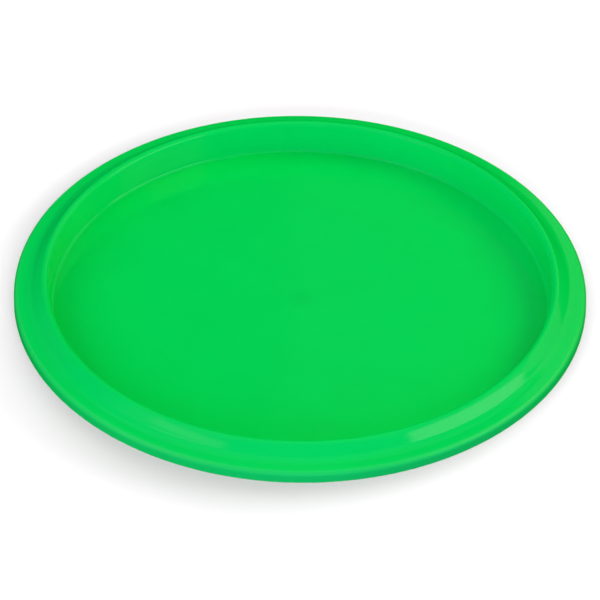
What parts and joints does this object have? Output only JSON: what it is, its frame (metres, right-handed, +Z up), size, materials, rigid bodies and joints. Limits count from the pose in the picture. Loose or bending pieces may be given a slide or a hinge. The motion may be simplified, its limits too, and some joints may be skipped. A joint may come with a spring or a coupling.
{
  "type": "shallow round pan",
  "caption": "Shallow round pan moulded in one piece: a flat floor, a low upright inner wall, a rounded crest and a wide rim that falls in an S to a turned-down lip.",
  "frame": {"origin": "centre of the foot ring's resting plane, under the middle of the floor", "axes": "+Z up along the axis of the pan, out of its open side; X and Y lie in the resting plane and are alike"},
  "size_m": [0.356, 0.356, 0.0259],
  "materials": {
    "green_plastic": "glossy"
  },
  "bodies": {
    "root": {"pan_body": "green_plastic"}
  },
  "joints": []
}
